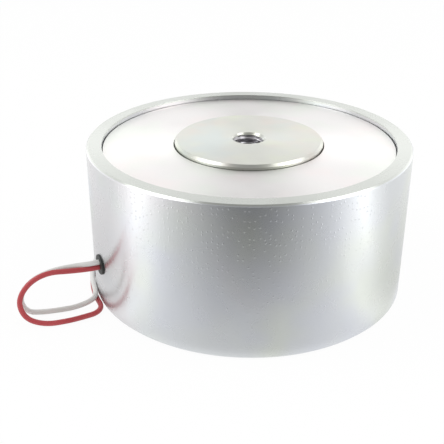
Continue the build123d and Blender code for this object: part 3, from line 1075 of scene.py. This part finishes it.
@dataclass
class Studio:
    """White floor, two lamps, and a glowing sheet that only reflections show: the painted reflection of a
    light tent, with painted shade on the camera's side and painted highlights at both sides.

    The levels stand beside degrees: near_level and far_level beside the azimuth from the camera's side, for
    the floor near the pot and away from it, and back_level beside the lift above the floor. front_level
    belongs to the ends of front_lift. Over front_edge the dome passes from front to back, and over
    dome_edge the floor passes into the dome.
    """

    floor_rings: tuple[float, ...] = (1e-6, 0.05, 0.1, 0.3, 1.0, 4.0)
    floor_colour: str = "#FFFFFF"
    floor_glow: float = 0.94
    surround_light: float = 0.72
    lamp_distance: float = 0.70
    lamp_angle: float = 80.0
    lamp_lift: float = 48.0
    lamp_size: float = 0.40
    lamp_radiance: float = 2.2
    tent_start: float = 0.042
    tent_radius: float = 1.2
    tent_height: float = 0.4 * MM
    tent_top: float = 86.0
    tent_rows: tuple[int, int] = (28, 24)
    columns: int = 96
    near_floor: tuple[float, float] = (0.050, 0.112)
    near_level: tuple[tuple[float, float], ...] = (
        (0, 0.77), (18, 0.79), (37, 0.88), (46, 1.0), (53, 1.16), (60, 1.05), (69, 0.88), (80, 0.80),
        (120, 0.8), (180, 0.7))
    far_level: tuple[tuple[float, float], ...] = (
        (0, 0.15), (11, 0.21), (23, 0.40), (36, 0.61), (48, 0.82), (59, 1.22), (69, 1.85), (79, 1.30),
        (91, 0.98), (150, 1.0), (180, 0.5))
    back_level: tuple[tuple[float, float], ...] = ((0, 1.8), (14, 1.55), (26, 1.1), (50, 0.78), (80, 0.65))
    front_level: tuple[float, float] = (0.22, 0.42)
    front_lift: tuple[float, float] = (10.0, 64.0)
    front_edge: tuple[float, float] = (15.0, 80.0)
    dome_edge: tuple[float, float] = (0.5, 5.0)

    def build(self) -> None:
        """Makes the surroundings, the floor, the lamps and the sheet of painted reflections."""
        scene = bpy.context.scene
        scene.view_settings.view_transform = "Standard"
        self._surroundings(scene)
        self._floor()
        for side in Side:
            self._lamp(side)
        self._painted_reflections()

    def _seen(self, tree: bpy.types.NodeTree) -> bpy.types.NodeSocket:
        """1 for rays from the camera and for those that gloss or glass sends on, else 0.

        Args:
            tree: the node tree.

        Returns:
            The socket with that value.
        """
        path = add_node(tree, "LightPath").outputs
        seen = path["Is Camera Ray"]
        for ray in ("Is Glossy Ray", "Is Transmission Ray"):
            seen = add_node(tree, "Math", {"operation": "MAXIMUM"}, in0=seen, in1=path[ray]).outputs[0]
        return seen

    def _surroundings(self, scene: bpy.types.Scene) -> None:
        """White all round: at full strength where it is seen, weaker as a light.

        Args:
            scene: the scene that gets this world.
        """
        scene.world = bpy.data.worlds.new("white_surroundings")
        tree = new_tree(scene.world)
        strength = add_node(
            tree, "MapRange", Value=self._seen(tree), To_Min=self.surround_light, To_Max=1.0)
        background = add_node(tree, "Background", Color=WHITE, Strength=strength.outputs[0])
        add_node(tree, "OutputWorld", Surface=background.outputs[0])

    def _floor(self) -> None:
        """Round floor of white paper: matt, with soft shadows that its glow leaves faintly visible."""
        rings = np.array(self.floor_rings)[:, None]
        section = np.hstack([rings, np.zeros_like(rings)])
        quads = grid_quads(len(section), self.columns, False, True)
        floor = make_object("floor", turn(section, self.columns), quads)
        material = bpy.data.materials.new("white_paper_floor")
        tree = new_tree(material)
        matt = add_node(tree, "BsdfDiffuse", Color=linear(self.floor_colour))
        white = add_node(tree, "Emission", Color=WHITE, Strength=1.0)
        share = add_node(tree, "Math", {"operation": "MULTIPLY"}, in0=self._seen(tree), in1=self.floor_glow)
        mixed = add_node(
            tree, "MixShader", Fac=share.outputs[0], in1=matt.outputs[0], in2=white.outputs[0])
        add_node(tree, "OutputMaterial", Surface=mixed.outputs[0])
        dress(floor, material)

    def _lamp(self, side: Side) -> None:
        """Soft box above and beside the camera that faces the object.

        Args:
            side: the side it stands on.
        """
        data = bpy.data.lights.new(f"softbox_{side.name.lower()}", "AREA")
        data.shape, data.size = "SQUARE", self.lamp_size
        data.energy = self.lamp_radiance * math.pi * self.lamp_size ** 2
        lamp = bpy.data.objects.new(data.name, data)
        azimuth, lift = math.radians(self.lamp_angle), math.radians(self.lamp_lift)
        outward = Vector((
            side.value * math.sin(azimuth) * math.cos(lift), -math.cos(azimuth) * math.cos(lift),
            math.sin(lift)))
        lamp.location = outward * self.lamp_distance
        lamp.rotation_mode = "QUATERNION"
        lamp.rotation_quaternion = outward.to_track_quat("Z", "Y")
        lamp.visible_camera = False
        bpy.context.scene.collection.objects.link(lamp)

    def _painted_reflections(self) -> None:
        """Glowing sheet that only reflections show: the painted reflection of a light tent round the
        object.

        The sheet runs out over the floor from near the pot and then up into a dome. With s along it, its
        radius on the floor is the start times (radius / start) to the power s, and above that its place is
        on a quarter circle.
        """
        floor_rows, dome_rows = self.tent_rows
        s = np.linspace(0, 1, floor_rows)
        lift = np.radians(np.linspace(0, self.tent_top, dome_rows))[1:]
        reach = np.concatenate([
            self.tent_start * (self.tent_radius / self.tent_start) ** s, self.tent_radius * np.cos(lift)])
        height = np.concatenate([np.zeros(floor_rows), self.tent_radius * np.sin(lift)]) + self.tent_height
        points = turn(np.stack([reach, height], -1), self.columns)
        tent = make_object("painted_reflection_sheet", points, grid_quads(len(reach), self.columns, False, True))
        # Glow seen only in reflections: painted reflections, with painted shade in front and painted
        # highlights aside.
        material = bpy.data.materials.new("painted_reflection_glow")
        tree = new_tree(material)
        glow = add_node(tree, "Emission", Color=WHITE, Strength=self._painted_reflection_level(tree))
        add_node(tree, "OutputMaterial", Surface=glow.outputs[0])
        dress(tent, material)
        tent.visible_camera = tent.visible_diffuse = tent.visible_shadow = False
        tent.visible_transmission = False

    def _painted_reflection_level(self, tree: bpy.types.NodeTree) -> bpy.types.NodeSocket:
        """Glow of the painted reflections: painted shade on the camera's side, painted highlights at the
        sides.

        On the floor it goes by the azimuth off the camera's side, and evens out close to the pot. On the
        dome it is low on the camera's side, and elsewhere it falls from the foot to the top.

        Args:
            tree: the node tree.

        Returns:
            The brightness socket.
        """
        place = add_node(tree, "TexCoord").outputs["Object"]
        axes = add_node(tree, "SeparateXYZ", in0=place).outputs
        flat = add_node(tree, "VectorMath", {"operation": "MULTIPLY"}, in0=place, in1=(1.0, 1.0, 0.0))
        reach = add_node(
            tree, "VectorMath", {"operation": "LENGTH"}, in0=flat.outputs[0]).outputs["Value"]
        towards = add_node(tree, "Math", {"operation": "MULTIPLY"}, in0=axes[1], in1=-1.0).outputs[0]
        aside = add_node(tree, "Math", {"operation": "ABSOLUTE"}, in0=axes[0]).outputs[0]
        azimuth = add_node(tree, "Math", {"operation": "ARCTAN2"}, in0=aside, in1=towards).outputs[0]
        lift = add_node(tree, "Math", {"operation": "ARCTAN2"}, in0=axes[2], in1=reach).outputs[0]
        near, far = (self._curve(tree, azimuth, stops) for stops in (self.near_level, self.far_level))
        back = self._curve(tree, lift, self.back_level)
        floor = add_node(
            tree, "MapRange", SMOOTH, Value=reach, From_Min=self.near_floor[0], From_Max=self.near_floor[1],
            To_Min=near, To_Max=far)
        front = add_node(
            tree, "MapRange", Value=lift, From_Min=math.radians(self.front_lift[0]),
            From_Max=math.radians(self.front_lift[1]), To_Min=self.front_level[0],
            To_Max=self.front_level[1])
        dome = add_node(
            tree, "MapRange", SMOOTH, Value=azimuth, From_Min=math.radians(self.front_edge[0]),
            From_Max=math.radians(self.front_edge[1]), To_Min=front.outputs[0], To_Max=back)
        return add_node(
            tree, "MapRange", SMOOTH, Value=lift, From_Min=math.radians(self.dome_edge[0]),
            From_Max=math.radians(self.dome_edge[1]), To_Min=floor.outputs[0],
            To_Max=dome.outputs[0]).outputs[0]

    def _curve(
        self, tree: bpy.types.NodeTree, angle: bpy.types.NodeSocket, stops: tuple[tuple[float, float], ...],
    ) -> bpy.types.NodeSocket:
        """Straight pieces through (degrees, level) stops, as a ramp at half the level that is doubled.

        Args:
            tree: the node tree.
            angle: the angle, in radians.
            stops: the stops, with rising degrees.

        Returns:
            The level's socket.
        """
        span = stops[-1][0]
        share = add_node(tree, "MapRange", Value=angle, From_Max=math.radians(span))
        ramp = add_node(tree, "ValToRGB", Fac=share.outputs[0])
        elements = ramp.color_ramp.elements
        elements.remove(elements[1])
        for number, (at, level) in enumerate(stops):
            stop = elements[0] if number == 0 else elements.new(at / span)
            stop.position, stop.color = at / span, (level / 2, level / 2, level / 2, 1.0)
        return add_node(tree, "Math", {"operation": "MULTIPLY"}, in0=ramp.outputs[0], in1=2.0).outputs[0]


RED_LEAD = FreeLead(
    name="red_lead", side=-1, colour=("#B23A40", "#BC474B"), slot="red_insulation",
    route=[
        (-0.0430, -0.0203, 0.0115), (-0.0479, -0.0226, 0.0124), (-0.0522, -0.0244, 0.0106),
        (-0.0549, -0.0256, 0.0063), (-0.0534, -0.0265, 0.0020), (-0.0487, -0.0269, 0.00065),
        (-0.0434, -0.0253, 0.00065), (-0.0396, -0.0233, 0.00065), (-0.0370, -0.0217, 0.00065),
        (-0.0362, -0.0187, 0.00065), (-0.0384, -0.0143, 0.00065), (-0.0404, -0.0071, 0.00065),
        (-0.0410, 0.0007, 0.00065), (-0.0402, 0.0093, 0.00065), (-0.0381, 0.0186, 0.00065),
        (-0.0334, 0.0292, 0.00065), (-0.0264, 0.0386, 0.00065),
    ],
    coil_centre=(-10 * MM, 53 * MM), coil_heading=62, tail_heading=20, turned_through=1122,
    coil_mid_diameter=13.0 * MM, length=0.27,
)
WHITE_LEAD = FreeLead(
    name="white_lead", side=1, colour=("#D9D9D5", "#E3E3E0"), slot="white_insulation",
    route=[
        (-0.0430, -0.0187, 0.0119), (-0.0479, -0.0209, 0.0118), (-0.0523, -0.0226, 0.0100),
        (-0.0550, -0.0239, 0.0062), (-0.0538, -0.0231, 0.0017), (-0.0504, -0.0214, 0.00065),
        (-0.0464, -0.0204, 0.00065), (-0.0426, -0.0195, 0.0009), (-0.0389, -0.0183, 0.00195),
        (-0.0379, -0.0153, 0.00198), (-0.0404, -0.0071, 0.00198), (-0.0410, 0.0007, 0.00198),
        (-0.0405, 0.0079, 0.00198), (-0.0426, 0.0132, 0.0010), (-0.0433, 0.0208, 0.00065),
        (-0.0442, 0.0276, 0.00065),
    ],
    coil_centre=(-35 * MM, 46 * MM), coil_heading=85, tail_heading=60, turned_through=1105,
    coil_mid_diameter=15.4 * MM, length=0.27,
)


def main() -> None:
    """Builds the electromagnet's looks in order."""
    logging.basicConfig(level=logging.INFO, format="%(name)s %(message)s")
    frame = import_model()
    Camera().build()
    bush = LeadBush()
    gland = bush.build()
    for lead in (RED_LEAD, WHITE_LEAD):
        lead.build(bush, gland)
    PotHousing().build(bush)
    PoleCore().build()
    CoverPlate().build()
    InnerPieces().build(frame["nodes"])
    Studio().build()


if __name__ == "__main__":
    main()
